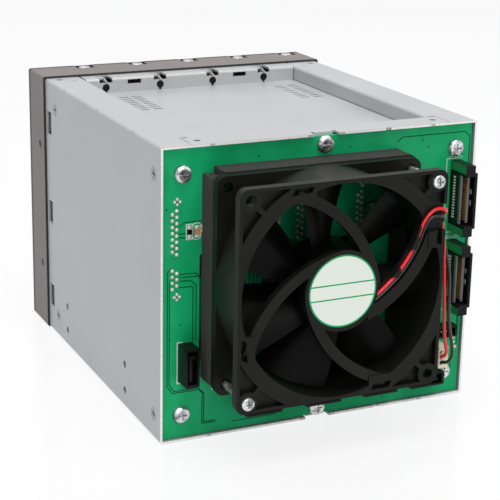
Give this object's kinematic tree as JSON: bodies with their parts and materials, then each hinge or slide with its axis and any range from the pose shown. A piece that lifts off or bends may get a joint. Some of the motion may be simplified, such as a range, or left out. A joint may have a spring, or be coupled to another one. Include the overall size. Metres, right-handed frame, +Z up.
{
  "type": "hot swap drive cage",
  "caption": "Sheet-steel hot swap drive cage with flap-door bezel, guided upright drive bays, a green backplane with signal and power sockets, and a rear axial fan on foam seals.",
  "frame": {"origin": "bottom centre of the whole cage, bezel and fan included", "axes": "+Z up, -Y towards the bezel and doors, +Y towards the backplane and fan, X across the cage"},
  "size_m": [0.148, 0.2106, 0.127],
  "materials": {
    "sheet_steel": "satin, faintly mottled zinc-coated sheet",
    "bezel_plastic": "matte, fine moulded texture",
    "latch_silver": "satin silver",
    "guide_plastic": "smooth matte",
    "green_board": "glossy solder mask",
    "connector_plastic": "glossy moulded",
    "ivory_plastic": "satin moulded",
    "screw_steel": "bright plated",
    "fan_plastic": "satin moulded",
    "magnet": "matt",
    "stator_iron": "laminated",
    "bearing_metal": "satin",
    "label_paper": "coated paper",
    "foam": "matt open-cell foam",
    "lead_red": "soft glossy insulation",
    "lead_black": "soft glossy insulation"
  },
  "bodies": {
    "cage": {"side_panel_right": "sheet_steel", "side_panel_left": "sheet_steel", "top_panel": "sheet_steel", "bottom_panel": "sheet_steel", "bay_divider_1": "sheet_steel", "bay_divider_2": "sheet_steel", "bay_divider_3": "sheet_steel", "bay_divider_4": "sheet_steel", "bezel_frame": "bezel_plastic", "drive_glides_upper": "guide_plastic", "drive_glides_lower": "guide_plastic", "backplane_board": "green_board", "fan_circuit_board": "green_board", "drive_connectors": "connector_plastic", "data_connector_upright": "connector_plastic", "data_connectors_lower": "connector_plastic", "power_connector_upper": "connector_plastic", "power_connector_lower": "connector_plastic", "service_header": "connector_plastic", "fan_header": "ivory_plastic", "fan_plug": "ivory_plastic", "board_screws": "screw_steel", "side_screws": "screw_steel", "fan_screws": "screw_steel", "fan_nuts": "screw_steel", "hinge_pins": "screw_steel", "fan_frame": "fan_plastic", "motor_stator": "stator_iron", "bearing_sleeve": "bearing_metal", "fan_label": "label_paper", "foam_gasket_top": "foam", "foam_gasket_left": "foam", "foam_gasket_bottom": "foam", "foam_gasket_right": "foam", "fan_lead_red": "lead_red", "fan_lead_black": "lead_black"},
    "rotor": {"fan_rotor": "fan_plastic", "motor_magnet": "magnet", "rotor_shaft": "screw_steel"},
    "door_1_body": {"door_1": "bezel_plastic"},
    "latch_1_body": {"door_latch_1": "latch_silver"},
    "door_2_body": {"door_2": "bezel_plastic"},
    "latch_2_body": {"door_latch_2": "latch_silver"},
    "door_3_body": {"door_3": "bezel_plastic"},
    "latch_3_body": {"door_latch_3": "latch_silver"},
    "door_4_body": {"door_4": "bezel_plastic"},
    "latch_4_body": {"door_latch_4": "latch_silver"},
    "door_5_body": {"door_5": "bezel_plastic"},
    "latch_5_body": {"door_latch_5": "latch_silver"}
  },
  "joints": [
    {"name": "fan_spin", "type": "hinge", "parent": "cage", "child": "rotor", "pos_m": [0.0089, 0.09, 0.07], "axis": [0, 1, 0], "continuous": true},
    {"name": "door_1_hinge", "type": "hinge", "parent": "cage", "child": "door_1_body", "pos_m": [-0.056, -0.1025, 0.0069], "axis": [1, 0, 0], "range_deg": [0, 90]},
    {"name": "latch_1_slide", "type": "slide", "parent": "door_1_body", "child": "latch_1_body", "axis": [0, 0, -1], "range_m": [0, 0.004], "stiffness_N_per_m": 250, "springref_m": -0.002},
    {"name": "door_2_hinge", "type": "hinge", "parent": "cage", "child": "door_2_body", "pos_m": [-0.028, -0.1025, 0.0069], "axis": [1, 0, 0], "range_deg": [0, 90]},
    {"name": "latch_2_slide", "type": "slide", "parent": "door_2_body", "child": "latch_2_body", "axis": [0, 0, -1], "range_m": [0, 0.004], "stiffness_N_per_m": 250, "springref_m": -0.002},
    {"name": "door_3_hinge", "type": "hinge", "parent": "cage", "child": "door_3_body", "pos_m": [0, -0.1025, 0.0069], "axis": [1, 0, 0], "range_deg": [0, 90]},
    {"name": "latch_3_slide", "type": "slide", "parent": "door_3_body", "child": "latch_3_body", "axis": [0, 0, -1], "range_m": [0, 0.004], "stiffness_N_per_m": 250, "springref_m": -0.002},
    {"name": "door_4_hinge", "type": "hinge", "parent": "cage", "child": "door_4_body", "pos_m": [0.028, -0.1025, 0.0069], "axis": [1, 0, 0], "range_deg": [0, 90]},
    {"name": "latch_4_slide", "type": "slide", "parent": "door_4_body", "child": "latch_4_body", "axis": [0, 0, -1], "range_m": [0, 0.004], "stiffness_N_per_m": 250, "springref_m": -0.002},
    {"name": "door_5_hinge", "type": "hinge", "parent": "cage", "child": "door_5_body", "pos_m": [0.056, -0.1025, 0.0069], "axis": [1, 0, 0], "range_deg": [0, 90]},
    {"name": "latch_5_slide", "type": "slide", "parent": "door_5_body", "child": "latch_5_body", "axis": [0, 0, -1], "range_m": [0, 0.004], "stiffness_N_per_m": 250, "springref_m": -0.002}
  ]
}
